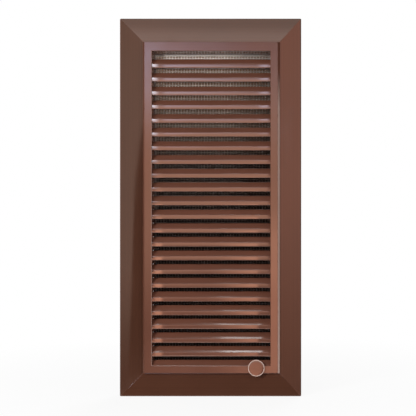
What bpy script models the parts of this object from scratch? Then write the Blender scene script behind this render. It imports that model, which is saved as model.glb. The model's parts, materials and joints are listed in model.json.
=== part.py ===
"""A moulded louvre vent for a wall or facade opening: a surround screwed to the wall, and a push-in
louvre insert that carries the slats and the insect mesh. Metres, +Z up, the front faces -Y.

The wall plane is Y = 0, and the origin is the middle of the opening on that plane. Below, a depth
is a distance in front of the wall plane, so Y = -depth, and what lies in the wall has a negative
depth. An inset is a distance in from the surround's outer edge.
"""

import math

import bmesh
import bpy
from mathutils import Vector

# Overall size
WIDTH = 0.168
HEIGHT = 0.350

# Clearances
REST_GAP = 0.0003
SLIDE_GAP = 0.0005

# Surround: a dished border that slopes back from its outer edge to the insert
EDGE_DEPTH = 0.0120
EDGE_ROUND = 0.0008
OUTER_CORNER_RADIUS = 0.0010
MITRE_RADIUS = 0.0002
BORDER_WIDTH = 0.0201
BORDER_SAG = 0.0007
BORDER_STEPS = 8
LAND_DEPTH = 0.0047
PANEL_WALL = 0.0020
SKIRT_WALL = 0.0020
RETURN_WALL = 0.0018
RIB_WALL = 0.0014
RIB_SPACING = 0.048
RIB_WALL_GAP = 0.0006
RIB_STEPS = 5

# Louvre frame: a raised flange round the opening, with a skirt that goes into the wall
FRAME_RISE = 0.0030
FRAME_WALL = 0.0018
FRAME_EDGE = 0.0004
SIDE_DRAFT = 0.0019
END_DRAFT = 0.0008
STILE_WIDTH = 0.00675
TOP_RAIL = 0.0082
BOTTOM_RAIL = 0.0068
SIDE_WALL = 0.0020
BAR_MARGIN = 0.0029
GRIP_RIB_HEIGHT = 0.0005
GRIP_RIB_WIDTH = 0.0012
GRIP_RIB_BEHIND = 0.0027
GRIP_RIBS_A_SIDE = 3
SILL_INTO_WALL = 0.0007

# Slats: channel section, open at the back
SLAT_PITCH = 0.01284
NOSE_HEIGHT = 0.0036
NOSE_RECESS = 0.0024
SLOPE_RISE = 0.0044
SLOPE_RUN = 0.0050
SLAT_DEPTH = 0.0135
SLAT_WALL = 0.0014
NOSE_ROUND = 0.0004
LEAST_TOP_GAP = 0.0040

# Insect mesh: a moulded net. Its fine strands are 2.76 mm apart, and each fourth one is solid here
MESH_STRAND = 0.0007
MESH_WALL = 0.0012
MESH_PITCH = 0.00276
STRANDS_A_CELL = 4
MESH_LAP = 0.0014

# Retainer: a flat frame with cross bars, screwed to the back of the louvre frame
RETAINER_WALL = 0.0020
RETAINER_LAP = 0.0014
CROSS_BAR = 0.0030
CROSS_BARS = 2
CROSS_BAR_SET_BACK = 0.00025
RETAINER_SCREW_FROM_SIDE = 0.01325
RETAINER_SCREWS_A_SIDE = 3
RETAINER_SCREW_RADIUS = 0.0010
RETAINER_SCREW_LENGTH = 0.0085
RETAINER_HEAD_RADIUS = 0.0019
RETAINER_HEAD_HEIGHT = 0.0013
PAN_FLAT_SHARE = 0.75

# Fixing screws: countersunk, through the surround's land into the wall
FIXING_FROM_END = 0.0450
FIXING_RADIUS = 0.0015
FIXING_LENGTH = 0.0160
FIXING_HEAD_RADIUS = 0.0027
FIXING_HEAD_HEIGHT = 0.0013
FIXING_HEAD_BELOW = 0.0002
FIXING_TIP = 0.0020
BOSS_WALL = 0.0016

# Cross recess in the heads of all screws
RECESS_SHARE = 0.62
RECESS_WIDTH_SHARE = 0.22
RECESS_DEPTH = 0.0007

# Badge: a bare dished disc on the bottom rail
BADGE_RADIUS = 0.00775
BADGE_HEIGHT = 0.0019
BADGE_RIM = 0.0011
BADGE_DISH = 0.0006
BADGE_DISH_RINGS = 3
BADGE_DISH_RING = 0.3
BADGE_DISH_CURVE = 0.2
BADGE_ROUND = 0.0003
BADGE_PIN_RADIUS = 0.0012
BADGE_PIN_LENGTH = 0.0035
BADGE_FROM_SIDE = 0.01295
BADGE_DROP = 0.0019

# Smoothness of the round pieces
DISC_STEPS = 40
SCREW_STEPS = 12
CORNER_STEPS = 3
BOSS_STEPS = 20
HOLE_STEPS = 16
SMALL_HOLE_STEPS = 12
NOSE_LOWER_STEPS = 3
NOSE_UPPER_STEPS = 2
SMOOTH_ANGLE = 35
MERGE_DISTANCE = 0.00001

# Places that follow from the sizes above
FOOT_X = WIDTH / 2 - BORDER_WIDTH
FOOT_Z = HEIGHT / 2 - BORDER_WIDTH
FRAME_X = FOOT_X - SIDE_DRAFT
FRAME_Z = FOOT_Z - END_DRAFT
OPENING_X = FRAME_X - STILE_WIDTH
OPENING_TOP = FRAME_Z - TOP_RAIL
OPENING_BOTTOM = -(FRAME_Z - BOTTOM_RAIL)
SKIRT_X = OPENING_X + SIDE_WALL
SKIRT_Z = FOOT_Z - BAR_MARGIN
THROAT_X = SKIRT_X + SLIDE_GAP
THROAT_Z = SKIRT_Z + GRIP_RIB_HEIGHT + REST_GAP

FLANGE_DEPTH = LAND_DEPTH + REST_GAP
FRONT_DEPTH = FLANGE_DEPTH + FRAME_RISE
NOSE_DEPTH = FRONT_DEPTH - NOSE_RECESS
SLAT_BACK = NOSE_DEPTH - SLAT_DEPTH
SKIRT_BACK = SLAT_BACK - REST_GAP
MESH_FRONT = SKIRT_BACK - REST_GAP
MESH_BACK = MESH_FRONT - MESH_WALL
RETAINER_FRONT = MESH_BACK - REST_GAP
RETAINER_BACK = RETAINER_FRONT - RETAINER_WALL

SLAT_HEIGHT = NOSE_HEIGHT + SLOPE_RISE
SLAT_ROOM = OPENING_TOP - OPENING_BOTTOM + NOSE_HEIGHT - SLAT_HEIGHT - LEAST_TOP_GAP
SLAT_COUNT = int(SLAT_ROOM / SLAT_PITCH)
SLAT_HALF = SKIRT_X - REST_GAP

MESH_X = OPENING_X + MESH_LAP
MESH_TOP = OPENING_TOP + MESH_LAP
MESH_BOTTOM = OPENING_BOTTOM - MESH_LAP

FIXING_X = (THROAT_X + FOOT_X) / 2
FIXING_Z = HEIGHT / 2 - FIXING_FROM_END
BADGE_X = OPENING_X - BADGE_FROM_SIDE
BADGE_Z = OPENING_BOTTOM - BADGE_DROP

# Colours, as linear values
BROWN = (0.130, 0.054, 0.035, 1.0)
DARK_BROWN = (0.075, 0.033, 0.022, 1.0)
MESH_BROWN = (0.110, 0.075, 0.060, 1.0)
STEEL = (0.560, 0.560, 0.580, 1.0)


def empty_scene():
    for item in list(bpy.data.objects):
        bpy.data.objects.remove(item, do_unlink=True)


def collection(name):
    made = bpy.data.collections.new(name)
    bpy.context.scene.collection.children.link(made)
    return made


def material(name, colour, roughness, metallic=0.0):
    made = bpy.data.materials.new(name)
    made.use_nodes = True
    shader = made.node_tree.nodes["Principled BSDF"]
    shader.inputs["Base Color"].default_value = colour
    shader.inputs["Roughness"].default_value = roughness
    shader.inputs["Metallic"].default_value = metallic
    return made


def add_object(name, bm, home, finish=None):
    bmesh.ops.recalc_face_normals(bm, faces=bm.faces)
    mesh = bpy.data.meshes.new(name)
    bm.to_mesh(mesh)
    bm.free()
    made = bpy.data.objects.new(name, mesh)
    home.objects.link(made)
    if finish:
        mesh.materials.append(finish)
    return made


def add_tool(name, bm):
    """A shape that is only cut from a piece or joined to it."""
    tool = add_object(name, bm, TOOLS)
    tool.hide_render = True
    tool.display_type = "WIRE"
    return tool


def combine(piece, tool, operation):
    step = piece.modifiers.new(tool.name, "BOOLEAN")
    step.operation = operation
    step.solver = "EXACT"
    step.object = tool


def smooth_round(mesh):
    mesh.shade_smooth()
    mesh.set_sharp_from_angle(angle=math.radians(SMOOTH_ANGLE))


def rectangle_ring(bm, half_x, top, bottom, depth, radius):
    """The corner points of a rounded rectangle, going round once."""
    ring = []
    corners = ((1, top, 0), (-1, top, 90), (-1, bottom, 180), (1, bottom, 270))
    for side, z, start in corners:
        up = 1 if z == top else -1
        for step in range(CORNER_STEPS + 1):
            angle = math.radians(start + 90 * step / CORNER_STEPS)
            x = side * (half_x - radius) + radius * math.cos(angle)
            level = z - up * radius + radius * math.sin(angle)
            ring.append(bm.verts.new((x, -depth, level)))
    return ring


def frame_moulding(sections):
    """A closed frame swept through rectangle rings, the last ring joined to the first."""
    bm = bmesh.new()
    rings = [rectangle_ring(bm, *section) for section in sections]
    for ring, following in zip(rings, rings[1:] + rings[:1]):
        for index in range(len(ring)):
            after = (index + 1) % len(ring)
            bm.faces.new((ring[index], ring[after], following[after], following[index]))
    return bm


def extrude_outline(bm, points, travel):
    """A solid prism: a flat outline swept along one straight line."""
    face = bm.faces.new([bm.verts.new(point) for point in points])
    swept = bmesh.ops.extrude_face_region(bm, geom=[face])
    moved = [item for item in swept["geom"] if isinstance(item, bmesh.types.BMVert)]
    bmesh.ops.translate(bm, verts=moved, vec=travel)


def box(bm, low, high):
    made = bmesh.ops.create_cube(bm, size=1.0)["verts"]
    low, high = Vector(low), Vector(high)
    bmesh.ops.scale(bm, verts=made, vec=high - low)
    bmesh.ops.translate(bm, verts=made, vec=(low + high) / 2)


def depth_box(bm, x_range, depth_range, z_range):
    low = (x_range[0], -max(depth_range), z_range[0])
    high = (x_range[1], -min(depth_range), z_range[1])
    box(bm, low, high)


def rounded_corner(before, corner, after, radius, steps):
    """Points of an arc that rounds one corner of an outline in the depth and height plane."""
    corner = Vector(corner)
    to_before = (Vector(before) - corner).normalized()
    to_after = (Vector(after) - corner).normalized()
    half_angle = to_before.angle(to_after) / 2
    reach = radius / math.tan(half_angle)
    middle = corner + (to_before + to_after).normalized() * (radius / math.sin(half_angle))
    first = corner + to_before * reach - middle
    last = corner + to_after * reach - middle
    points = []
    for step in range(steps + 1):
        share = step / steps
        blend = first.lerp(last, share).normalized() * radius
        points.append(tuple(middle + blend))
    return points


def turned_piece(name, profile, steps, home, finish=None):
    """A round piece about its own Z axis. The profile is (radius, height) pairs from the top."""
    bm = bmesh.new()
    points = [bm.verts.new((radius, 0.0, height)) for radius, height in profile]
    for first, second in zip(points, points[1:]):
        bm.edges.new((first, second))
    mesh = bpy.data.meshes.new(name)
    bm.to_mesh(mesh)
    bm.free()
    piece = bpy.data.objects.new(name, mesh)
    home.objects.link(piece)
    turn = piece.modifiers.new("turn", "SCREW")
    turn.steps = steps
    turn.render_steps = steps
    turn.use_merge_vertices = True
    turn.merge_threshold = MERGE_DISTANCE
    turn.use_normal_calculate = True
    if finish:
        mesh.materials.append(finish)
    return piece


def aim_forward(piece, place, depth):
    """Turns a piece's own Z axis to the front and sets its origin at a place and depth."""
    piece.rotation_euler.x = math.radians(90)
    piece.location = (place[0], -depth, place[1])


def cone(bm, place, radius_back, radius_front, depth_back, depth_front, steps):
    """A cone or cylinder along the depth axis, with its ends at two depths."""
    length = depth_front - depth_back
    made = bmesh.ops.create_cone(
        bm,
        cap_ends=True,
        segments=steps,
        radius1=radius_back,
        radius2=radius_front,
        depth=length,
    )["verts"]
    # A cone's own axis is +Z, which turns to point out of the front, -Y
    for vert in made:
        x, y, z = vert.co
        vert.co = (place[0] + x, -(depth_back + length / 2 + z), place[1] + y)


def border_depth(inset):
    """Depth of the dished border's front surface at an inset from the outer edge."""
    start = EDGE_ROUND
    share = min(max((inset - start) / (BORDER_WIDTH - start), 0.0), 1.0)
    straight = EDGE_DEPTH + (LAND_DEPTH - EDGE_DEPTH) * share
    return straight - BORDER_SAG * 4 * share * (1 - share)


def inset_ring(inset, depth, radius=MITRE_RADIUS):
    return (WIDTH / 2 - inset, HEIGHT / 2 - inset, -(HEIGHT / 2 - inset), depth, radius)


def throat_ring(wider, depth):
    return (THROAT_X + wider, THROAT_Z + wider, -(THROAT_Z + wider), depth, MITRE_RADIUS)


def surround_sections():
    """The surround's section, from the rear of its skirt over the front and back inside."""
    outer = OUTER_CORNER_RADIUS
    quarter = EDGE_ROUND * (1 - math.cos(math.radians(45)))
    rings = [
        inset_ring(0.0, 0.0, outer),
        inset_ring(0.0, EDGE_DEPTH - EDGE_ROUND, outer),
        inset_ring(quarter, EDGE_DEPTH - quarter, outer),
        inset_ring(EDGE_ROUND, EDGE_DEPTH, outer / 2),
    ]
    run = BORDER_WIDTH - EDGE_ROUND
    fronts = [EDGE_ROUND + run * step / BORDER_STEPS for step in range(1, BORDER_STEPS + 1)]
    rings += [inset_ring(inset, border_depth(inset)) for inset in fronts]
    rings += [
        throat_ring(0.0, LAND_DEPTH),
        throat_ring(0.0, 0.0),
        throat_ring(RETURN_WALL, 0.0),
        throat_ring(RETURN_WALL, LAND_DEPTH - PANEL_WALL),
    ]
    backs = [inset for inset in reversed(fronts) if inset > SKIRT_WALL + EDGE_ROUND / 2]
    rings += [inset_ring(inset, border_depth(inset) - PANEL_WALL) for inset in backs]
    rings += [
        inset_ring(SKIRT_WALL, border_depth(SKIRT_WALL) - PANEL_WALL),
        inset_ring(SKIRT_WALL, 0.0),
    ]
    return rings


def side_point(side, along, inset, depth):
    """A point given by the side of the surround it is on, its place along it and its inset."""
    if side == "left":
        return (-WIDTH / 2 + inset, -depth, along)
    if side == "right":
        return (WIDTH / 2 - inset, -depth, along)
    if side == "top":
        return (along, -depth, HEIGHT / 2 - inset)
    return (along, -depth, -HEIGHT / 2 + inset)


def rib_places(length):
    count = max(1, int(length / RIB_SPACING))
    return [length * (index + 0.5) / count - length / 2 for index in range(count)]


def surround_ribs():
    """Cross ribs that tie the skirt, the dished panel and the return wall together."""
    bm = bmesh.new()
    inner_x = WIDTH / 2 - THROAT_X - RETURN_WALL / 2
    inner_z = HEIGHT / 2 - THROAT_Z - RETURN_WALL / 2
    sides = (
        ("left", 2 * THROAT_Z, inner_x, (0, 0, RIB_WALL)),
        ("right", 2 * THROAT_Z, inner_x, (0, 0, RIB_WALL)),
        ("top", 2 * THROAT_X, inner_z, (RIB_WALL, 0, 0)),
        ("bottom", 2 * THROAT_X, inner_z, (RIB_WALL, 0, 0)),
    )
    for side, length, inner, travel in sides:
        steps = [SKIRT_WALL / 2]
        steps += [BORDER_WIDTH * step / RIB_STEPS for step in range(1, RIB_STEPS)]
        steps += [inner]
        tops = [(inset, border_depth(inset) - PANEL_WALL / 2) for inset in steps]
        outline = [(SKIRT_WALL / 2, RIB_WALL_GAP)] + tops + [(inner, RIB_WALL_GAP)]
        for along in rib_places(length):
            start = along - RIB_WALL / 2
            points = [side_point(side, start, inset, depth) for inset, depth in outline]
            extrude_outline(bm, points, travel)
    return bm


def fixing_places():
    return [(x, z) for x in (-FIXING_X, FIXING_X) for z in (-FIXING_Z, FIXING_Z)]


def make_surround():
    surround = add_object("surround", frame_moulding(surround_sections()), PARTS, GLOSS_BROWN)
    ribs = add_tool("surround_ribs", surround_ribs())
    combine(surround, ribs, "UNION")

    bosses = bmesh.new()
    holes = bmesh.new()
    hole = FIXING_RADIUS + REST_GAP
    sink = FIXING_HEAD_RADIUS + REST_GAP
    for place in fixing_places():
        boss_top = LAND_DEPTH - PANEL_WALL / 2
        cone(bosses, place, hole + BOSS_WALL, hole + BOSS_WALL, 0.0, boss_top, BOSS_STEPS)
        cone(holes, place, hole, hole, -PANEL_WALL, LAND_DEPTH + PANEL_WALL, HOLE_STEPS)
    combine(surround, add_tool("surround_bosses", bosses), "UNION")
    combine(surround, add_tool("surround_screw_holes", holes), "DIFFERENCE")

    sinks = bmesh.new()
    for place in fixing_places():
        past = PANEL_WALL / 2
        deep = LAND_DEPTH - FIXING_HEAD_BELOW - FIXING_HEAD_HEIGHT - REST_GAP
        slope = (sink - hole) / (FIXING_HEAD_HEIGHT + REST_GAP)
        wide = hole + slope * (LAND_DEPTH + past - deep)
        cone(sinks, place, hole, wide, deep, LAND_DEPTH + past, BOSS_STEPS)
    combine(surround, add_tool("surround_countersinks", sinks), "DIFFERENCE")
    return surround


def frame_sections():
    """The louvre frame's section: flange, skirt, and the hollow under the flange."""
    foot = (FOOT_X, FOOT_Z, -FOOT_Z)
    edge = FRAME_EDGE
    inner_foot_x = FOOT_X - FRAME_WALL
    inner_foot_z = max(FOOT_Z - FRAME_WALL, SKIRT_Z + REST_GAP)
    hollow = FRONT_DEPTH - FRAME_WALL
    near = MITRE_RADIUS
    opening = (OPENING_X, OPENING_TOP, OPENING_BOTTOM)
    return [
        (*foot, FLANGE_DEPTH, edge),
        (FRAME_X + edge, FRAME_Z + edge / 2, -FRAME_Z - edge / 2, FRONT_DEPTH - edge, edge),
        (FRAME_X, FRAME_Z, -FRAME_Z, FRONT_DEPTH, edge),
        (opening[0] + edge, opening[1] + edge, opening[2] - edge, FRONT_DEPTH, near),
        (*opening, FRONT_DEPTH - edge, near),
        (*opening, SKIRT_BACK, near),
        (SKIRT_X, SKIRT_Z, -SKIRT_Z, SKIRT_BACK, near),
        (SKIRT_X, SKIRT_Z, -SKIRT_Z, hollow, near),
        (inner_foot_x - edge, inner_foot_z - edge / 4, -inner_foot_z + edge / 4, hollow, near),
        (inner_foot_x, inner_foot_z, -inner_foot_z, FLANGE_DEPTH, near),
    ]


def slat_bottom(number):
    """Height of the underside of a slat. Slat 1 is at the top."""
    return OPENING_BOTTOM - NOSE_HEIGHT + SLAT_PITCH * (SLAT_COUNT + 1 - number)


def slat_outline():
    """The channel section of a slat as (depth, height), from its nose plane and underside."""
    slope = SLOPE_RISE / SLOPE_RUN
    drop = SLAT_WALL * math.hypot(1.0, slope)
    top_back = SLOPE_RUN + drop / slope
    inner_top = NOSE_HEIGHT + slope * SLAT_WALL - drop
    lower_front = (0.0, 0.0)
    upper_front = (0.0, NOSE_HEIGHT)
    slope_top = (-SLOPE_RUN, SLAT_HEIGHT)
    back_bottom = (-SLAT_DEPTH, 0.0)
    outline = rounded_corner(back_bottom, lower_front, upper_front, NOSE_ROUND, NOSE_LOWER_STEPS)
    outline += rounded_corner(lower_front, upper_front, slope_top, NOSE_ROUND, NOSE_UPPER_STEPS)
    outline += [
        slope_top,
        (-top_back, SLAT_HEIGHT),
        (-SLAT_WALL, inner_top),
        (-SLAT_WALL, SLAT_WALL),
        (-SLAT_DEPTH, SLAT_WALL),
        back_bottom,
    ]
    return outline


def make_slats():
    """Each slat lies across the opening, its ends in the notches of the side walls."""
    bm = bmesh.new()
    points = [(-SLAT_HALF, -(NOSE_DEPTH + back), rise) for back, rise in slat_outline()]
    extrude_outline(bm, points, (2 * SLAT_HALF, 0, 0))
    first = None
    for number in range(1, SLAT_COUNT + 1):
        name = f"slat_{number:02d}"
        if first is None:
            first = add_object(name, bm, PARTS, SLAT_BROWN)
            smooth_round(first.data)
            slat = first
        else:
            slat = bpy.data.objects.new(name, first.data)
            PARTS.objects.link(slat)
        slat.location.z = slat_bottom(number)


def notch_cutter():
    """One cutter for each slat, open to the rear so that the slats go in from behind."""
    bm = bmesh.new()
    slope = SLOPE_RISE / SLOPE_RUN
    gap = REST_GAP
    lead = gap * math.hypot(1.0, slope)
    front = NOSE_DEPTH + gap
    top = SLAT_HEIGHT + gap
    nose_top = NOSE_HEIGHT + lead - gap * slope
    reach = SLOPE_RUN + gap + (top - SLAT_HEIGHT - lead) / slope
    behind = SKIRT_BACK - SIDE_WALL
    half = SKIRT_X + SIDE_WALL
    for number in range(1, SLAT_COUNT + 1):
        base = slat_bottom(number)
        outline = [
            (front, -gap),
            (front, nose_top),
            (front - reach, top),
            (behind, top),
            (behind, -gap),
        ]
        points = [(-half, -depth, base + rise) for depth, rise in outline]
        extrude_outline(bm, points, (2 * half, 0, 0))
    return bm


def sill_ramp():
    """The sill slopes up behind the bottom rail as the slats do."""
    bm = bmesh.new()
    slope = SLOPE_RISE / SLOPE_RUN
    start = FRONT_DEPTH - 2 * FRAME_EDGE
    sunk = FRAME_EDGE
    outline = [
        (start + sunk, OPENING_BOTTOM - sunk * slope),
        (start - SLOPE_RUN, OPENING_BOTTOM + SLOPE_RISE),
        (start - SLOPE_RUN - SLAT_WALL, OPENING_BOTTOM + SLOPE_RISE),
        (start - SLOPE_RUN - SLAT_WALL, OPENING_BOTTOM - 2 * sunk),
        (start + sunk, OPENING_BOTTOM - 2 * sunk),
    ]
    half = OPENING_X + SILL_INTO_WALL
    points = [(-half, -depth, rise) for depth, rise in outline]
    extrude_outline(bm, points, (2 * half, 0, 0))
    return bm


def grip_ribs():
    """Low ribs along the top and bottom bars, which grip the surround's throat."""
    bm = bmesh.new()
    half = GRIP_RIB_WIDTH / 2
    front = FRONT_DEPTH - GRIP_RIB_BEHIND
    spacing = 2 * OPENING_X / (GRIP_RIBS_A_SIDE + 1)
    for level in (1, -1):
        for number in range(1, GRIP_RIBS_A_SIDE + 1):
            middle = number * spacing - OPENING_X
            inside = level * (SKIRT_Z - GRIP_RIB_HEIGHT)
            outside = level * (SKIRT_Z + GRIP_RIB_HEIGHT)
            heights = (min(inside, outside), max(inside, outside))
            lead_in = SKIRT_BACK + 2 * GRIP_RIB_HEIGHT
            depth_box(bm, (middle - half, middle + half), (lead_in, front), heights)
    return bm


def retainer_screw_places():
    """Screw places in the solid bars above and below the opening."""
    top = (MESH_TOP + SKIRT_Z) / 2
    bottom = (MESH_BOTTOM - SKIRT_Z) / 2
    outer = OPENING_X - RETAINER_SCREW_FROM_SIDE
    spacing = 2 * outer / (RETAINER_SCREWS_A_SIDE - 1)
    across = [index * spacing - outer for index in range(RETAINER_SCREWS_A_SIDE)]
    return [(x, z) for z in (top, bottom) for x in across]


def make_louvre_frame():
    frame = add_object("louvre_frame", frame_moulding(frame_sections()), PARTS, GLOSS_BROWN)
    combine(frame, add_tool("sill_ramp", sill_ramp()), "UNION")
    combine(frame, add_tool("grip_ribs", grip_ribs()), "UNION")
    combine(frame, add_tool("slat_notches", notch_cutter()), "DIFFERENCE")

    holes = bmesh.new()
    radius = RETAINER_SCREW_RADIUS + REST_GAP
    deep = RETAINER_BACK + RETAINER_SCREW_LENGTH
    for place in retainer_screw_places():
        cone(holes, place, radius, radius, SKIRT_BACK - RETAINER_WALL, deep, SMALL_HOLE_STEPS)
    pin_hole = BADGE_PIN_RADIUS + REST_GAP
    pin_end = FRONT_DEPTH - BADGE_PIN_LENGTH
    badge_place = (BADGE_X, BADGE_Z)
    cone(holes, badge_place, pin_hole, pin_hole, pin_end, FRONT_DEPTH + FRAME_WALL, HOLE_STEPS)
    combine(frame, add_tool("frame_holes", holes), "DIFFERENCE")


def make_insect_mesh():
    """A grid whose cells are inset and opened, then given its wall."""
    height = MESH_TOP - MESH_BOTTOM
    cell = MESH_PITCH * STRANDS_A_CELL
    bm = bmesh.new()
    bmesh.ops.create_grid(
        bm,
        x_segments=round(2 * MESH_X / cell),
        y_segments=round(height / cell),
        size=0.5,
    )
    bmesh.ops.scale(bm, vec=(2 * MESH_X, height, 1), verts=bm.verts)
    cells = list(bm.faces)
    bmesh.ops.inset_individual(bm, faces=cells, thickness=MESH_STRAND / 2, use_even_offset=True)
    bmesh.ops.delete(bm, geom=cells, context="FACES")
    net = add_object("insect_mesh", bm, PARTS, MESH_PLASTIC)
    aim_forward(net, (0.0, (MESH_TOP + MESH_BOTTOM) / 2), (MESH_FRONT + MESH_BACK) / 2)
    wall = net.modifiers.new("wall", "SOLIDIFY")
    wall.thickness = MESH_WALL
    wall.offset = 0.0


def cross_bar_heights():
    """The cross bars hide behind slat noses."""
    numbers = [round(SLAT_COUNT * (index + 1) / (CROSS_BARS + 1)) for index in range(CROSS_BARS)]
    return [slat_bottom(number) + NOSE_HEIGHT / 2 for number in numbers]


def make_retainer():
    inner = (OPENING_X - RETAINER_LAP, OPENING_TOP - RETAINER_LAP, OPENING_BOTTOM + RETAINER_LAP)
    outer_z = SKIRT_Z - REST_GAP
    outer = (SKIRT_X - REST_GAP, outer_z, -outer_z)
    near = MITRE_RADIUS
    sections = [
        (*outer, RETAINER_FRONT, near),
        (*outer, RETAINER_BACK, near),
        (*inner, RETAINER_BACK, near),
        (*inner, RETAINER_FRONT, near),
    ]
    retainer = add_object("mesh_retainer", frame_moulding(sections), PARTS, RETAINER_PLASTIC)

    bars = bmesh.new()
    layer = (RETAINER_BACK + CROSS_BAR_SET_BACK, RETAINER_FRONT - CROSS_BAR_SET_BACK)
    for z in cross_bar_heights():
        depth_box(bars, (-OPENING_X, OPENING_X), layer, (z - CROSS_BAR / 2, z + CROSS_BAR / 2))
    combine(retainer, add_tool("retainer_cross_bars", bars), "UNION")

    holes = bmesh.new()
    radius = RETAINER_SCREW_RADIUS + REST_GAP
    for place in retainer_screw_places():
        past = RETAINER_WALL / 2
        ends = (RETAINER_BACK - past, RETAINER_FRONT + past)
        cone(holes, place, radius, radius, *ends, SMALL_HOLE_STEPS)
    combine(retainer, add_tool("retainer_holes", holes), "DIFFERENCE")


def screw_mesh(name, profile, head_radius, top):
    """A turned screw along its own Z axis, with a cross cut into its head."""
    screw = turned_piece(name, profile, SCREW_STEPS, TOOLS)
    arm = head_radius * RECESS_SHARE
    half = head_radius * RECESS_WIDTH_SHARE
    outline = []
    for turn in range(4):
        along = Vector((math.cos(math.pi / 2 * turn), math.sin(math.pi / 2 * turn), 0))
        side = Vector((-along.y, along.x, 0))
        for reach, offset in ((arm, -half), (arm, half), (half, half)):
            outline.append(along * reach + side * offset + Vector((0, 0, top - RECESS_DEPTH)))
    cross = bmesh.new()
    extrude_outline(cross, outline, (0, 0, 2 * RECESS_DEPTH))
    tool = add_tool(f"{name}_recess", cross)
    combine(screw, tool, "DIFFERENCE")
    bpy.context.view_layer.update()
    graph = bpy.context.evaluated_depsgraph_get()
    mesh = bpy.data.meshes.new_from_object(screw.evaluated_get(graph))
    mesh.name = name
    for item in (screw, tool):
        bpy.data.objects.remove(item, do_unlink=True)
    smooth_round(mesh)
    mesh.materials.append(ZINC)
    return mesh


def make_fixing_screws():
    """Countersunk screws, their heads just below the land."""
    under = -FIXING_HEAD_HEIGHT
    profile = [
        (0.0, 0.0),
        (FIXING_HEAD_RADIUS, 0.0),
        (FIXING_RADIUS, under),
        (FIXING_RADIUS, FIXING_TIP - FIXING_LENGTH),
        (0.0, -FIXING_LENGTH),
    ]
    shape = screw_mesh("fixing_screw", profile, FIXING_HEAD_RADIUS, 0.0)
    for number, place in enumerate(fixing_places(), 1):
        screw = bpy.data.objects.new(f"fixing_screw_{number}", shape)
        PARTS.objects.link(screw)
        aim_forward(screw, place, LAND_DEPTH - FIXING_HEAD_BELOW)


def make_retainer_screws():
    """Pan head screws, driven from the rear."""
    top = RETAINER_HEAD_HEIGHT
    profile = [
        (0.0, top),
        (RETAINER_HEAD_RADIUS * PAN_FLAT_SHARE, top),
        (RETAINER_HEAD_RADIUS, top / 2),
        (RETAINER_HEAD_RADIUS, 0.0),
        (RETAINER_SCREW_RADIUS, 0.0),
        (RETAINER_SCREW_RADIUS, RETAINER_SCREW_RADIUS - RETAINER_SCREW_LENGTH),
        (0.0, -RETAINER_SCREW_LENGTH),
    ]
    shape = screw_mesh("retainer_screw", profile, RETAINER_HEAD_RADIUS, top)
    for number, (x, z) in enumerate(retainer_screw_places(), 1):
        screw = bpy.data.objects.new(f"retainer_screw_{number}", shape)
        PARTS.objects.link(screw)
        screw.rotation_euler.x = math.radians(-90)
        screw.location = (x, -(RETAINER_BACK - REST_GAP), z)


def make_badge():
    """A bare dished disc with a raised rim, held by a pin in the bottom rail."""
    back = REST_GAP
    front = back + BADGE_HEIGHT
    inner = BADGE_RADIUS - BADGE_RIM
    profile = []
    for ring in range(BADGE_DISH_RINGS + 1):
        share = ring * BADGE_DISH_RING
        profile.append((inner * share, front - BADGE_DISH * (1 - BADGE_DISH_CURVE * share**2)))
    profile += [
        (inner, front - BADGE_ROUND / 2),
        (inner + BADGE_ROUND, front),
        (BADGE_RADIUS - BADGE_ROUND, front),
        (BADGE_RADIUS, front - BADGE_ROUND),
        (BADGE_RADIUS, back + BADGE_ROUND),
        (BADGE_RADIUS - BADGE_ROUND, back),
        (BADGE_PIN_RADIUS, back),
        (BADGE_PIN_RADIUS, REST_GAP * 2 - BADGE_PIN_LENGTH),
        (0.0, REST_GAP * 2 - BADGE_PIN_LENGTH),
    ]
    badge = turned_piece("badge_disc", profile, DISC_STEPS, PARTS, BADGE_BROWN)
    aim_forward(badge, (BADGE_X, BADGE_Z), FRONT_DEPTH)


empty_scene()
PARTS = collection("louvre_vent")
TOOLS = collection("louvre_vent_tools")
GLOSS_BROWN = material("gloss_brown_plastic", BROWN, 0.28)
SLAT_BROWN = material("slat_brown_plastic", BROWN, 0.25)
MESH_PLASTIC = material("mesh_plastic", MESH_BROWN, 0.45)
RETAINER_PLASTIC = material("retainer_plastic", DARK_BROWN, 0.40)
BADGE_BROWN = material("badge_plastic", BROWN, 0.22)
ZINC = material("zinc_steel", STEEL, 0.35, 1.0)

make_surround()
make_fixing_screws()
make_louvre_frame()
make_slats()
make_insect_mesh()
make_retainer()
make_retainer_screws()
make_badge()
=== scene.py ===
"""Finishes for a moulded louvre vent: glossy brown plastic surround and louvre insert, fine insect
net, steel screws, a bare round badge, and a plain studio. Metres, +Z up, the front faces -Y.
"""

import json
import math

import bmesh
import bpy
from bpy.props import FloatProperty, FloatVectorProperty, IntProperty, PointerProperty
from bpy.types import Operator, Panel, PropertyGroup
from mathutils import Matrix, Vector, noise


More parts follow.
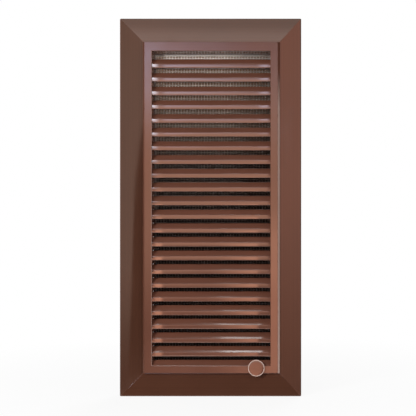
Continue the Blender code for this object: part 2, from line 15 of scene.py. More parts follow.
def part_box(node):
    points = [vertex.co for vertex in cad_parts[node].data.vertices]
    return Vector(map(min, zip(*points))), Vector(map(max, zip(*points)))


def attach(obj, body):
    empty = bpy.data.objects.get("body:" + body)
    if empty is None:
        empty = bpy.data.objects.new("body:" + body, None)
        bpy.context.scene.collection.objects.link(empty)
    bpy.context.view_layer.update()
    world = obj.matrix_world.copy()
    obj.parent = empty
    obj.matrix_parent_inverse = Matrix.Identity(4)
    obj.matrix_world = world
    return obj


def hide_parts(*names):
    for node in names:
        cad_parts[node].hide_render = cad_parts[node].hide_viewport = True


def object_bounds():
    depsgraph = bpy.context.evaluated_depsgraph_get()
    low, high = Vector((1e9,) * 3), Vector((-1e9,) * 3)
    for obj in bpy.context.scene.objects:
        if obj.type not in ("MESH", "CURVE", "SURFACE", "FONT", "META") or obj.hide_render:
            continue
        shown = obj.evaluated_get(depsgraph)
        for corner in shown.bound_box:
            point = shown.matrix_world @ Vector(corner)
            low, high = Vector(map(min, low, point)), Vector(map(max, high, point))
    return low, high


bl_info = {
    "name": "Louvre Vent",
    "version": (1, 0, 0),
    "blender": (4, 5, 0),
    "location": "View3D > Sidebar > Louvre Vent",
    "description": "Fits a moulded louvre vent with its slats, net, screws, finishes and studio",
    "category": "Object",
}

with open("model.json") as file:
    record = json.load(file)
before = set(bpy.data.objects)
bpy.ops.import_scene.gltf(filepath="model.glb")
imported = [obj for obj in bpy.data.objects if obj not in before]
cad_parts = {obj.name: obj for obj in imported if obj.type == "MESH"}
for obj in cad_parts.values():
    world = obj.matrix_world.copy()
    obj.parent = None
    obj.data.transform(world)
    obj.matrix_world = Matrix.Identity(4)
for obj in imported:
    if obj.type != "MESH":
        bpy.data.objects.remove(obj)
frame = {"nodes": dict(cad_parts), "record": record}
CAD_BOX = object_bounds()
NODES = frame["nodes"]

BODY_OF = {
    node: body
    for body, nodes in frame["record"]["behaviour"]["bodies"].items()
    for node in nodes
}
SLAT_NODES = sorted(name for name in NODES if name.startswith("slat_"))
FIXING_NODES = sorted(name for name in NODES if name.startswith("fixing_screw_"))
RETAINER_SCREW_NODES = sorted(name for name in NODES if name.startswith("retainer_screw_"))

MILLIMETRE = 0.001
STRAND_SIDES = 8
SCREW_STEPS = 20
RINGS_A_TURN = 6
BADGE_STEPS = 72
# How far the retainer reaches past the opening's side walls
RETAINER_LAP = 0.0017
# The slats' hanging lips end just short of those walls, and all but vanish in the notches
LIP_CLEARANCE = 0.0001
LEAST_LIP = 0.00002
# Edges sharper than this show as creases. The surround's shallow mitres need a finer limit.
SMOOTH_BELOW = math.radians(34)
MITRE_SMOOTH_BELOW = math.radians(3.5)

# Screw heads as (share of the head's radius, millimetres down from its top)
COUNTERSUNK_HEAD = ((0.94, 0.0), (1.0, 0.12), (0.56, 1.3), (0.5, 1.6))
PAN_HEAD = (
    (0.45, 0.0),
    (0.72, 0.08),
    (0.9, 0.3),
    (0.99, 0.7),
    (1.0, 1.28),
    (0.48, 1.3),
    (0.46, 1.5),
)

# A mix node's colour sockets, which it also has under the same names for other kinds of value
MIX_A, MIX_B, MIXED = 6, 7, 2

FLOOR_HALF = 4.0
SENSOR_WIDTH = 36.0

# Level of the room between the panels
DIM_ROOM = 0.05

# The wall right of the camera ends in a bent slanting edge: climb, start and full of each part
WALL_SLANTS = ((0.452, 0.462, 0.489), (2.3, 0.570, 0.614))
CAMERA_WALL = ("ffdcc8", 1.3, (11, 13, 41, 46), (-12, -2, 14, 24))
# A lamp tube overhead, which runs towards the vent. Its width is given as sideways shares.
LAMP_TUBE = ("ffffff", 6.0, (-0.11, -0.10, -0.06, -0.045), (62, 68, 74, 80))

# Panels that gloss sees: tint, level, then four azimuths and four elevations, in degrees
STUDIO_PANELS = (
    # The pale floor before the vent
    ("ffeade", 1.65, (-80, -60, 60, 80), (-80, -60, -13.4, -12.4)),
    # Its brighter part further off
    ("ffe2d8", 1.25, (-40, -20, 20, 40), (-36, -18, -13.4, -12.4)),
    # The window at the upper left
    ("dfe2ff", 4.4, (-21, -17, -13, 1), (6, 13, 13.5, 15)),
    # The warm wall below it
    ("ffc4a4", 2.0, (-21, -17, 0, 8), (-7, 1, 8, 14)),
    # Its brighter part low at the right
    ("ffb08e", 3.6, (-7, -2.5, 3, 7), (-14, -9, -2, 3)),
    # The warm wall further left
    ("ffb8a4", 2.1, (-70, -58, -28, -21), (-18, 6, 16, 30)),
    # The lamp strip overhead
    ("ffffff", 0.7, (-40, -25, 15, 30), (44, 50, 70, 80)),
    # A narrow lamp at the right
    ("eef0ff", 24.0, (66, 72, 88, 94), (8, 13, 16, 19)),
    # The bright wall below that lamp
    ("ffe6da", 4.0, (66, 72, 88, 94), (-30, -14, 4, 8)),
    # Pale walls behind the vent
    ("f2f4f0", 0.8, (108, 130, 200, 210), (-30, -5, 60, 85)),
    ("f2f4f0", 0.8, (-210, -200, -130, -108), (-30, -5, 60, 85)),
    # A small lamp right of the camera
    ("eef0ff", 12.0, (-3, 8.5, 10, 12), (2, 13, 15, 17)),
)


def linear(hex_colour):
    """An sRGB hex colour such as 7a483a as a linear colour with full alpha."""
    channels = [int(hex_colour[place : place + 2], 16) / 255 for place in (0, 2, 4)]
    curve = [c / 12.92 if c <= 0.04045 else ((c + 0.055) / 1.055) ** 2.4 for c in channels]
    return (*curve, 1.0)


def colour_setting(name, description, hex_colour):
    return FloatVectorProperty(
        name=name,
        description=description,
        default=linear(hex_colour),
        size=4,
        min=0.0,
        max=1.0,
        subtype="COLOR",
    )


def length_setting(name, description, millimetres):
    return FloatProperty(
        name=name,
        description=description,
        default=millimetres * MILLIMETRE,
        min=0.0,
        unit="LENGTH",
        precision=5,
    )


def share_setting(name, description, default):
    return FloatProperty(
        name=name,
        description=description,
        default=default,
        min=0.0,
        max=1.0,
        subtype="FACTOR",
    )


class SlatSettings(PropertyGroup):
    """Section and moulding irregularities of the slats."""

    nose_height: length_setting("Nose height", "From the channel's underside up the nose", 2.75)
    lip: length_setting("Lip", "How far the nose hangs below the channel between the walls", 1.0)
    slope_run: length_setting("Slope run", "How far back the slope goes", 5.0)
    wall: length_setting("Wall", "Thickness of the channel's wall", 1.4)
    lower_round: length_setting("Lower round", "Radius of the nose's lower edge", 0.45)
    upper_round: length_setting("Upper round", "Radius of the nose's upper edge", 0.7)
    top_round: length_setting("Top round", "Radius of the slope's top edge", 0.25)
    crown: length_setting("Crown", "How far the nose bulges between its edges", 0.015)
    end_flare: length_setting("End flare", "How far the nose swells forward at its ends", 1.1)
    end_reach: length_setting("End reach", "Length of that swelling", 13.0)
    bow: length_setting("Bow", "How far a slat bends out of line", 0.14)
    twist: FloatProperty(
        name="Twist",
        description="How far a slat turns out of line along its length",
        default=math.radians(0.8),
        subtype="ANGLE",
    )


class NetSettings(PropertyGroup):
    """The moulded insect net behind the slats."""

    strand: length_setting("Strand", "Width of a strand", 0.7)
    pitch_across: length_setting("Pitch across", "Distance between upright strands", 2.76)
    rows_a_slat: IntProperty(
        name="Rows a slat",
        description="Level strands in each slat pitch",
        default=5,
        min=1,
    )
    rim: length_setting("Rim", "Width of the solid strip round the net", 2.7)


class ScrewSettings(PropertyGroup):
    """Threads and cross recesses of the screws."""

    fixing_radius: length_setting("Fixing radius", "Radius of a fixing screw's thread", 1.5)
    retainer_radius: length_setting("Retainer radius", "Radius of a retainer screw's thread", 1.0)
    thread_pitch: length_setting("Thread pitch", "Distance between turns of the thread", 1.25)
    thread_share: share_setting("Thread share", "Height of the thread against its radius", 0.24)
    recess_share: share_setting("Recess share", "Length of the cross against the head", 0.62)
    recess_depth: length_setting("Recess depth", "Depth of the cross recess", 0.8)


class BadgeSettings(PropertyGroup):
    """The bare round badge."""

    height: length_setting("Height", "From the frame's face to the rim", 1.9)
    pin_radius: length_setting("Pin radius", "Radius of the pin that holds it", 1.2)
    rim: length_setting("Rim", "Width of the raised rim", 0.9)
    rim_round: length_setting("Rim round", "Radius of the rim's edges", 0.4)
    dish: length_setting("Dish", "Depth of the face below the rim", 0.5)


class FinishSettings(PropertyGroup):
    """Colours and gloss."""

    surround: colour_setting("Surround", "Brown of the surround's plastic", "543325")
    insert: colour_setting("Insert", "Brown of the louvre frame and slats", "744a3b")
    # Painted highlight: a pale colour laid along the frame's right side and the crest of the
    # badge's rim
    painted_highlight: colour_setting("Painted highlight", "Paler brown where fingers have rubbed the insert", "d8bcb0")
    net: colour_setting("Net", "Dark grey of the insect net", "14100e")
    # Painted light: a pale colour laid over the net's upper part, with less of it at the right as
    # painted shade
    net_painted_light: colour_setting("Net painted light", "Pale dust that lies on the net's upper part", "faf4ee")
    retainer: colour_setting("Retainer", "Dark brown of the retainer", "44302a")
    zinc: colour_setting("Zinc", "Colour of the zinc plated steel", "b4b4ae")
    gloss_roughness: share_setting("Gloss roughness", "Roughness of the polished plastic", 0.10)
    satin_roughness: share_setting("Satin roughness", "Roughness of the satin plastic", 0.42)


class StudioSettings(PropertyGroup):
    """Light, floor and camera."""

    white: colour_setting("White", "Colour of the backdrop and floor", "ffffff")
    shade: colour_setting("Duct shade", "Darkness seen through the net from the front", "100c0a")
    # Painted light glowing in the upper part of the shade card behind the net
    painted_duct_light: colour_setting("Duct light", "Light seen through the net's top", "7c6658")
    ambient: share_setting("Ambient", "Level of the even light from above and behind", 0.18)
    bounce: FloatProperty(
        name="Bounce",
        description="Level of the light that the floor by the vent throws up",
        default=1.15,
        min=0.0,
    )
    window_level: share_setting("Window level", "Level of the lamp at the left", 0.55)
    side_level: share_setting("Side level", "Level of the lamp at the right", 0.19)
    upper_level: share_setting("Upper level", "Level of the lamp above the camera", 0.14)
    rear_level: share_setting("Rear level", "Level of the lamp behind the vent", 0.6)
    camera_distance: length_setting("Camera distance", "From the wall plane", 720.0)
    camera_right: length_setting("Camera right", "To the right of the vent's middle", 85.0)
    camera_down: length_setting("Camera down", "Below the vent's middle", 24.0)
    frame_width: length_setting("Frame width", "What the picture spans at the front edge", 385.2)
    middle_left: length_setting("Middle left", "Picture's middle, left of the vent's", 2.3)
    middle_down: length_setting("Middle down", "Picture's middle, below the vent's", 0.55)


class VentSettings(PropertyGroup):
    """All settings of the vent."""

    slats: PointerProperty(type=SlatSettings)
    net: PointerProperty(type=NetSettings)
    screws: PointerProperty(type=ScrewSettings)
    badge: PointerProperty(type=BadgeSettings)
    finish: PointerProperty(type=FinishSettings)
    studio: PointerProperty(type=StudioSettings)


def settings():
    return bpy.context.scene.louvre_vent


def add_node(tree, kind, inputs=None, **values):
    """Adds a shader or geometry node. inputs gives its sockets an output to link or a value, and
    the rest are its settings."""
    made = tree.nodes.new(kind)
    for name, value in values.items():
        setattr(made, name, value)
    for socket, source in (inputs or {}).items():
        if isinstance(source, bpy.types.NodeSocket):
            tree.links.new(source, made.inputs[socket])
        else:
            made.inputs[socket].default_value = source
    return made


def new_object(name, bm, finish, body):
    """A piece from a finished mesh, shaded, finished and set on its body."""
    bmesh.ops.recalc_face_normals(bm, faces=bm.faces)
    mesh = bpy.data.meshes.new(name)
    bm.to_mesh(mesh)
    bm.free()
    mesh.shade_smooth()
    mesh.set_sharp_from_angle(angle=SMOOTH_BELOW)
    piece = bpy.data.objects.new(name, mesh)
    bpy.context.scene.collection.objects.link(piece)
    mesh.materials.append(finish)
    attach(piece, body)
    return piece


def rounded_corner(before, corner, after, radius, steps):
    """Points of an arc that rounds one corner of an outline."""
    corner = Vector(corner)
    to_before = (Vector(before) - corner).normalized()
    to_after = (Vector(after) - corner).normalized()
    half_angle = to_before.angle(to_after) / 2
    reach = radius / math.tan(half_angle)
    middle = corner + (to_before + to_after).normalized() * (radius / math.sin(half_angle))
    first = corner + to_before * reach - middle
    last = corner + to_after * reach - middle
    points = []
    for step in range(steps + 1):
        blend = first.lerp(last, step / steps).normalized() * radius
        points.append(tuple(middle + blend))
    return points


def loft(bm, rings, closed_ends=True):
    """Joins rings of vertices, each closed on itself, into a skin."""
    for ring, following in zip(rings, rings[1:]):
        for index in range(len(ring)):
            after = (index + 1) % len(ring)
            bm.faces.new((ring[index], ring[after], following[after], following[index]))
    if closed_ends:
        bm.faces.new(rings[0])
        bm.faces.new(rings[-1])


def turned(bm, profile, steps, place):
    """A round body about a line along Y. The profile is (radius, y) pairs, from axis to axis."""
    rings = []
    for radius, y in profile[1:-1]:
        ring = []
        for step in range(steps):
            angle = 2 * math.pi * step / steps
            x = place[0] + radius * math.cos(angle)
            z = place[1] + radius * math.sin(angle)
            ring.append(bm.verts.new((x, y, z)))
        rings.append(ring)
    loft(bm, rings, closed_ends=False)
    for (_, y), ring in ((profile[0], rings[0]), (profile[-1], rings[-1])):
        tip = bm.verts.new((place[0], y, place[1]))
        for index in range(steps):
            bm.faces.new((tip, ring[index], ring[(index + 1) % steps]))


def smoothing_nodes(name, below):
    """A modifier group that welds the facets of a solid and smooths all but its sharp edges."""
    group = bpy.data.node_groups.new(name, "GeometryNodeTree")
    group.interface.new_socket("Geometry", in_out="INPUT", socket_type="NodeSocketGeometry")
    group.interface.new_socket("Geometry", in_out="OUTPUT", socket_type="NodeSocketGeometry")
    start = add_node(group, "NodeGroupInput")
    end = add_node(group, "NodeGroupOutput")
    weld = add_node(
        group, "GeometryNodeMergeByDistance", {"Geometry": start.outputs[0], "Distance": 0.00001}
    )
    angle = add_node(group, "GeometryNodeInputMeshEdgeAngle")
    sharp = add_node(
        group,
        "FunctionNodeCompare",
        {"A": angle.outputs["Unsigned Angle"], "B": below},
        data_type="FLOAT",
        operation="GREATER_THAN",
    )
    faces = add_node(
        group, "GeometryNodeSetShadeSmooth", {"Geometry": weld.outputs[0]}, domain="FACE"
    )
    edges = add_node(
        group, "GeometryNodeSetShadeSmooth", {"Geometry": faces.outputs[0]}, domain="EDGE"
    )
    creases = add_node(
        group,
        "GeometryNodeSetShadeSmooth",
        {
            "Geometry": edges.outputs[0],
            "Selection": sharp.outputs["Result"],
            "Shade Smooth": False,
        },
        domain="EDGE",
    )
    group.links.new(creases.outputs[0], end.inputs[0])
    return group


def dress(node_name, finish, below=SMOOTH_BELOW):
    """Gives a solid its finish and smooths its facets."""
    piece = NODES[node_name]
    if "custom_normal" in piece.data.attributes:
        piece.data.attributes.remove(piece.data.attributes["custom_normal"])
    for slot in piece.material_slots:
        slot.material = finish
    smooth = piece.modifiers.new("smooth_facets", "NODES")
    smooth.node_group = smoothing_nodes(f"smooth_{node_name}", below)


def edge_distance(tree, place):
    """How far a point lies inside the surround's outline, seen from the front."""
    low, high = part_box("surround")
    parts = add_node(tree, "ShaderNodeSeparateXYZ", {"Vector": place})
    nearest = []
    for axis, half in (("X", high.x), ("Z", high.z)):
        size = add_node(tree, "ShaderNodeMath", {0: parts.outputs[axis]}, operation="ABSOLUTE")
        inside = add_node(
            tree, "ShaderNodeMath", {0: half, 1: size.outputs[0]}, operation="SUBTRACT"
        )
        nearest.append(inside.outputs[0])
    least = add_node(tree, "ShaderNodeMath", {0: nearest[0], 1: nearest[1]}, operation="MINIMUM")
    return least.outputs[0]


def new_finish(name):
    """A finish to build up: its material, node tree and shader, and the places of its points."""
    made = bpy.data.materials.new(name)
    made.use_nodes = True
    tree = made.node_tree
    place = add_node(tree, "ShaderNodeTexCoord").outputs["Object"]
    return made, tree, tree.nodes["Principled BSDF"], place


def tone_colour(tree, shader, colour, tone):
    """Makes the colour darker and lighter by a tone about 1."""
    toned = add_node(
        tree,
        "ShaderNodeMix",
        {"Factor": 1.0, MIX_A: colour, MIX_B: tone.outputs[0]},
        data_type="RGBA",
        blend_type="MULTIPLY",
    )
    tree.links.new(toned.outputs[MIXED], shader.inputs["Base Color"])


def polished_abs(name, colour, lines_follow):
    """ABS, injection moulded in a polished tool. Glossy and slightly wavy, with faint flow marks
    and draw lines in its brown, finger marks in its gloss, and fine rub marks. The draw lines
    follow the border or the slats."""
    made, tree, shader, place = new_finish(name)

    # Flow marks: soft streaks 60 mm long and 12 mm wide
    streak = (1 / 0.060, 1 / 0.012, 1 / 0.060)
    along = add_node(tree, "ShaderNodeMapping", {"Vector": place, "Scale": streak})
    flow = add_node(
        tree, "ShaderNodeTexNoise", {"Vector": along.outputs[0], "Scale": 1.0, "Detail": 3.0}
    )
    # Draw lines: 1.3 mm apart, where the tool was polished lengthwise
    if lines_follow == "border":
        lines = add_node(
            tree,
            "ShaderNodeTexNoise",
            {"W": edge_distance(tree, place), "Scale": 1 / 0.0013},
            noise_dimensions="1D",
        )
    else:
        level = (1 / 0.090, 1 / 0.0013, 1 / 0.0013)
        drawn = add_node(tree, "ShaderNodeMapping", {"Vector": place, "Scale": level})
        lines = add_node(tree, "ShaderNodeTexNoise", {"Vector": drawn.outputs[0], "Scale": 1.0})
    both = add_node(
        tree,
        "ShaderNodeMath",
        {0: flow.outputs["Fac"], 1: lines.outputs["Fac"]},
        operation="ADD",
    )
    tone = add_node(
        tree,
        "ShaderNodeMapRange",
        {
            "Value": both.outputs[0],
            "From Min": 0.6,
            "From Max": 1.4,
            "To Min": 0.88,
            "To Max": 1.12,
        },
    )
    tone_colour(tree, shader, colour, tone)

    # Gloss: finger marks 25 mm across and fine rub marks 0.8 mm apart
    smudges = add_node(
        tree, "ShaderNodeTexNoise", {"Vector": place, "Scale": 1 / 0.025, "Detail": 4.0}
    )
    rubs = add_node(
        tree, "ShaderNodeTexNoise", {"Vector": place, "Scale": 1 / 0.0008, "Detail": 2.0}
    )
    marks = add_node(
        tree,
        "ShaderNodeMath",
        {0: smudges.outputs["Fac"], 1: rubs.outputs["Fac"]},
        operation="ADD",
    )
    base = settings().finish.gloss_roughness
    gloss = add_node(
        tree,
        "ShaderNodeMapRange",
        {
            "Value": marks.outputs[0],
            "From Min": 0.7,
            "From Max": 1.3,
            "To Min": base - 0.04,
            "To Max": base + 0.05,
        },
    )
    tree.links.new(gloss.outputs[0], shader.inputs["Roughness"])

    # Waviness of the moulded skin: swells 9 mm apart, 0.014 mm high, over a finer peel
    swell = add_node(
        tree, "ShaderNodeTexNoise", {"Vector": place, "Scale": 1 / 0.009, "Detail": 0.0}
    )
    peel = add_node(
        tree, "ShaderNodeTexNoise", {"Vector": place, "Scale": 1 / 0.0016, "Detail": 2.0}
    )
    coarse = add_node(
        tree,
        "ShaderNodeBump",
        {"Height": swell.outputs["Fac"], "Strength": 1.0, "Distance": 0.000014},
    )
    fine = add_node(
        tree,
        "ShaderNodeBump",
        {
            "Height": peel.outputs["Fac"],
            "Normal": coarse.outputs[0],
            "Strength": 1.0,
            "Distance": 0.000003,
        },
    )
    tree.links.new(fine.outputs[0], shader.inputs["Normal"])
    shader.inputs["IOR"].default_value = 1.54
    return made


def satin_plastic(name, colour, grain):
    """Polypropylene or ABS, moulded in a spark eroded tool. Satin, with a fine even grain."""
    made, tree, shader, place = new_finish(name)
    speckle = add_node(
        tree, "ShaderNodeTexNoise", {"Vector": place, "Scale": 1 / grain, "Detail": 2.0}
    )
    # Clouds in the colour, 30 mm across
    clouds = add_node(
        tree, "ShaderNodeTexNoise", {"Vector": place, "Scale": 1 / 0.030, "Detail": 3.0}
    )
    tone = add_node(
        tree,
        "ShaderNodeMapRange",
        {"Value": clouds.outputs["Fac"], "To Min": 0.88, "To Max": 1.12},
    )
    tone_colour(tree, shader, colour, tone)
    base = settings().finish.satin_roughness
    gloss = add_node(
        tree,
        "ShaderNodeMapRange",
        {"Value": speckle.outputs["Fac"], "To Min": base - 0.06, "To Max": base + 0.06},
    )
    tree.links.new(gloss.outputs[0], shader.inputs["Roughness"])
    bump = add_node(
        tree,
        "ShaderNodeBump",
        {"Height": speckle.outputs["Fac"], "Strength": 0.6, "Distance": 0.00002},
    )
    tree.links.new(bump.outputs[0], shader.inputs["Normal"])
    shader.inputs["IOR"].default_value = 1.50
    return made


def zinc_plate(name, colour):
    """Steel, zinc plated and clear passivated. Bright grey metal with cloudy gloss."""
    made, tree, shader, place = new_finish(name)
    shader.inputs["Metallic"].default_value = 1.0
    # Clouds of the passivation, 1.6 mm across
    clouds = add_node(
        tree, "ShaderNodeTexNoise", {"Vector": place, "Scale": 1 / 0.0016, "Detail": 4.0}
    )
    tint = add_node(
        tree,
        "ShaderNodeMix",
        {"Factor": clouds.outputs["Fac"], MIX_A: colour, MIX_B: linear("8f8a72")},
        data_type="RGBA",
    )
    tree.links.new(tint.outputs[MIXED], shader.inputs["Base Color"])
    gloss = add_node(
        tree,
        "ShaderNodeMapRange",
        {"Value": clouds.outputs["Fac"], "To Min": 0.22, "To Max": 0.42},
    )
    tree.links.new(gloss.outputs[0], shader.inputs["Roughness"])
    return made


def share_by_place(tree, *rises):
    """A share that rises from 0 to 1 along each axis given, from one place on it to another."""
    place = add_node(tree, "ShaderNodeTexCoord").outputs["Object"]
    parts = add_node(tree, "ShaderNodeSeparateXYZ", {"Vector": place})
    share = 1.0
    for axis, start, end, way in rises:
        rise = add_node(
            tree,
            "ShaderNodeMapRange",
            {"Value": parts.outputs[axis], "From Min": start, "From Max": end},
            interpolation_type=way,
        )
        both = add_node(
            tree, "ShaderNodeMath", {0: share, 1: rise.outputs[0]}, operation="MULTIPLY"
        )
        share = both.outputs[0]
    return share


def lay_over(made, colour, *rises):
    """Lays a colour over a finish's own, by the share that the rises give."""
    tree = made.node_tree
    base = tree.nodes["Principled BSDF"].inputs["Base Color"]
    own = base.links[0].from_socket
    laid = add_node(
        tree,
        "ShaderNodeMix",
        {"Factor": share_by_place(tree, *rises), MIX_A: own, MIX_B: colour},
        data_type="RGBA",
    )
    tree.links.new(laid.outputs[MIXED], base)
    return made


def shared(maker, name, *values):
    """A finish that several pieces share, made once."""
    return bpy.data.materials.get(name) or maker(name, *values)


def surround_finish():
    return shared(polished_abs, "polished_abs_surround", settings().finish.surround, "border")


def frame_finish():
    """A pale painted highlight along the frame's right side below its top, where that side catches
    the light.
    """
    finish = settings().finish
    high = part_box("louvre_frame")[1]
    # Painted highlight on the frame's right side wall, fading out towards its top
    return lay_over(
        polished_abs("highlight_painted_abs_frame", finish.insert, "border"),
        finish.painted_highlight,
        ("X", high.x - 1.9 * MILLIMETRE, high.x - 1.4 * MILLIMETRE, "LINEAR"),
        ("Z", high.z * 0.82, high.z * 0.60, "LINEAR"),
    )


def badge_finish():
    """A pale painted highlight along the crest of the badge's rim."""
    finish = settings().finish
    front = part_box("badge_disc")[0].y
    # Painted highlight on the frontmost part of the rim
    return lay_over(
        polished_abs("highlight_painted_abs_badge", finish.insert, "slats"),
        finish.painted_highlight,
        ("Y", front + 0.16 * MILLIMETRE, front + 0.06 * MILLIMETRE, "LINEAR"),
    )


def buffed_abs(name, colour):
    """The frame's plastic, buffed after moulding, which puts a clearer shine over its gloss."""
    made = polished_abs(name, colour, "slats")
    shader = made.node_tree.nodes["Principled BSDF"]
    shader.inputs["Coat Weight"].default_value = 0.5
    shader.inputs["Coat IOR"].default_value = 1.6
    shader.inputs["Coat Roughness"].default_value = 0.04
    return made


def slat_finish():
    return shared(buffed_abs, "buffed_abs_slats", settings().finish.insert)


def retainer_finish():
    """Its grain is 0.4 mm across."""
    return satin_plastic("satin_abs_retainer", settings().finish.retainer, 0.0004)


def net_finish():
    """Satin polypropylene with a grain of 0.3 mm. A pale colour laid over its upper part is
    painted light where light reaches the net in the upper gaps, and less of it at the right is
    painted shade."""
    finish = settings().finish
    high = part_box("insect_mesh")[1]
    # Painted light on the net's upper part, thinning towards the right as painted shade
    return lay_over(
        satin_plastic("satin_polypropylene_net", finish.net, 0.0003),
        finish.net_painted_light,
        ("Z", high.z * -0.45, high.z * 0.9, "SMOOTHSTEP"),
        ("X", high.x * (0.2 + 4 / 3), high.x * 0.2, "LINEAR"),
    )


def zinc_finish():
    return shared(zinc_plate, "zinc_plated_steel", settings().finish.zinc)


class VENT_OT_surround(Operator):
    """Finish the dished surround"""

    bl_idname = "louvre_vent.surround"
    bl_label = "Surround"

    def execute(self, context):
        dress("surround", surround_finish(), MITRE_SMOOTH_BELOW)
        return {"FINISHED"}


class VENT_OT_louvre_frame(Operator):
    """Finish the raised frame that holds the slats"""

    bl_idname = "louvre_vent.louvre_frame"
    bl_label = "Louvre frame"

    def execute(self, context):
        dress("louvre_frame", frame_finish())
        return {"FINISHED"}


def slat_section(height, depth, lip):
    """The channel section as (distance behind the nose, height above the underside). Its nose
    hangs below the underside by the lip."""
    sizes = settings().slats
    nose, run, wall, crown = sizes.nose_height, sizes.slope_run, sizes.wall, sizes.crown
    slope = (height - nose) / run
    drop = wall * math.hypot(1.0, slope)
    lower, upper, top = (crown, -lip), (crown, nose), (run, height)
    back_foot, top_back = (depth, 0.0), (run + drop / slope, height)
    section = [(wall, 0.0), (wall, -lip)]
    section += rounded_corner((wall, -lip), lower, upper, sizes.lower_round, 6)
    low = sizes.lower_round - lip
    high = nose - sizes.upper_round * math.tan(math.atan(1 / slope) / 2)
    for step in range(1, 6):
        share = step / 6
        bulge = crown * 4 * share * (1 - share)
        section.append((crown - bulge, low + (high - low) * share))
    section += rounded_corner(lower, upper, top, sizes.upper_round, 6)
    section += rounded_corner(upper, top, top_back, sizes.top_round, 3)
    section += [
        top_back,
        (wall, nose + slope * wall - drop),
        (wall, wall),
        (depth, wall),
        back_foot,
    ]
    return section


def slat_stations(half, opening_half):
    """Places along a slat, close together where its nose swells at the ends."""
    reach = settings().slats.end_reach
    inner = opening_half - reach
    lipped = reach - LIP_CLEARANCE
    ends = [inner + lipped * step / 8 for step in range(9)] + [opening_half, half]
    middle = [inner * (2 * step / 16 - 1) for step in range(1, 16)]
    return [-x for x in reversed(ends)] + middle + ends


def make_slat(node_name, number, opening_half):
    """One slat. Its nose swells at the ends, and it is a little bowed and twisted."""
    sizes = settings().slats
    low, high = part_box(node_name)
    size = high - low
    pivot = Vector((0.0, sizes.nose_height / 2))
    bm = bmesh.new()
    rings = []
    for x in slat_stations(high.x, opening_half):
        into_end = (abs(x) - (opening_half - sizes.end_reach)) / sizes.end_reach
        flare = sizes.end_flare * min(max(into_end, 0.0), 1.0) ** 2
        held = 1.0 - (x / high.x) ** 2
        twist = sizes.twist * noise.noise((x / 0.045, number * 1.7, 0.5))
        bow = sizes.bow * held * noise.noise((x / 0.060, number * 2.3, 7.5))
        ring = []
        lip = sizes.lip if abs(x) < opening_half - LIP_CLEARANCE / 2 else LEAST_LIP
        for back, rise in slat_section(size.z, size.y, lip):
            turned_point = Matrix.Rotation(twist, 2) @ (Vector((back, rise)) - pivot) + pivot
            swell = 0.0
            if turned_point.x < sizes.wall:
                swell = flare
            y = low.y + turned_point.x + bow - swell
            ring.append(bm.verts.new((x, y, low.z + turned_point.y)))
        rings.append(ring)
    loft(bm, rings)
    name = f"moulded_{node_name}"
    slat = new_object(name, bm, slat_finish(), "insert")
    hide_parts(node_name)


class VENT_OT_slats(Operator):
    """Mould the slats, each with its own slight bow and twist"""

    bl_idname = "louvre_vent.slats"
    bl_label = "Slats"

    def execute(self, context):
        opening_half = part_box("mesh_retainer")[1].x - RETAINER_LAP
        for number, node_name in enumerate(SLAT_NODES, 1):
            make_slat(node_name, number, opening_half)
        return {"FINISHED"}


def add_strand(bm, start, end, radius):
    """A round strand, drawn as eight sides."""
    start, end = Vector(start), Vector(end)
    along = (end - start).normalized()
    side = Vector((0, 1, 0))
    other = along.cross(side)
    rings = []
    for middle in (start, end):
        ring = []
        for step in range(STRAND_SIDES):
            angle = 2 * math.pi * (step + 0.5) / STRAND_SIDES
            offset = side * math.cos(angle) + other * math.sin(angle)
            ring.append(bm.verts.new(middle + offset * radius))
        rings.append(ring)
    loft(bm, rings)


def add_rim(bm, low, high, width):
    """The net's solid rim: a flat rectangular ring."""
    rings = []
    for inset, y in ((0.0, low.y), (0.0, high.y), (width, high.y), (width, low.y)):
        left, right = low.x + inset, high.x - inset
        bottom, top = low.z + inset, high.z - inset
        corners = ((left, bottom), (right, bottom), (right, top), (left, top))
        rings.append([bm.verts.new((x, y, z)) for x, z in corners])
    loft(bm, rings + [rings[0]], closed_ends=False)


class VENT_OT_insect_net(Operator):
    """Mould the net behind the slats: upright strands in front, level strands behind, and a rim"""

    bl_idname = "louvre_vent.insect_net"
    bl_label = "Insect net"

    def execute(self, context):
        sizes = settings().net
        low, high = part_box("insect_mesh")
        radius = sizes.strand / 2
        bm = bmesh.new()
        first_slat, second_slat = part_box(SLAT_NODES[0])[0].z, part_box(SLAT_NODES[1])[0].z
        pitch_up = (first_slat - second_slat) / sizes.rows_a_slat
        inner = sizes.rim / 2
        count = int((high.x - inner) / sizes.pitch_across)
        for index in range(-count, count + 1):
            x = index * sizes.pitch_across
            y = low.y + radius
            add_strand(bm, (x, y, low.z + inner), (x, y, high.z - inner), radius)
        rows = int((high.z - low.z - 2 * inner) / pitch_up)
        for row in range(rows + 1):
            z = low.z + inner + row * pitch_up
            y = high.y - radius
            add_strand(bm, (low.x + inner, y, z), (high.x - inner, y, z), radius)
        add_rim(bm, low, high, sizes.rim)
        net = new_object("moulded_insect_net", bm, net_finish(), "insert")
        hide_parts("insect_mesh")
        return {"FINISHED"}


class VENT_OT_retainer(Operator):
    """Finish the retainer that presses the net home"""

    bl_idname = "louvre_vent.retainer"
    bl_label = "Retainer"

    def execute(self, context):
        dress("mesh_retainer", retainer_finish())
        return {"FINISHED"}


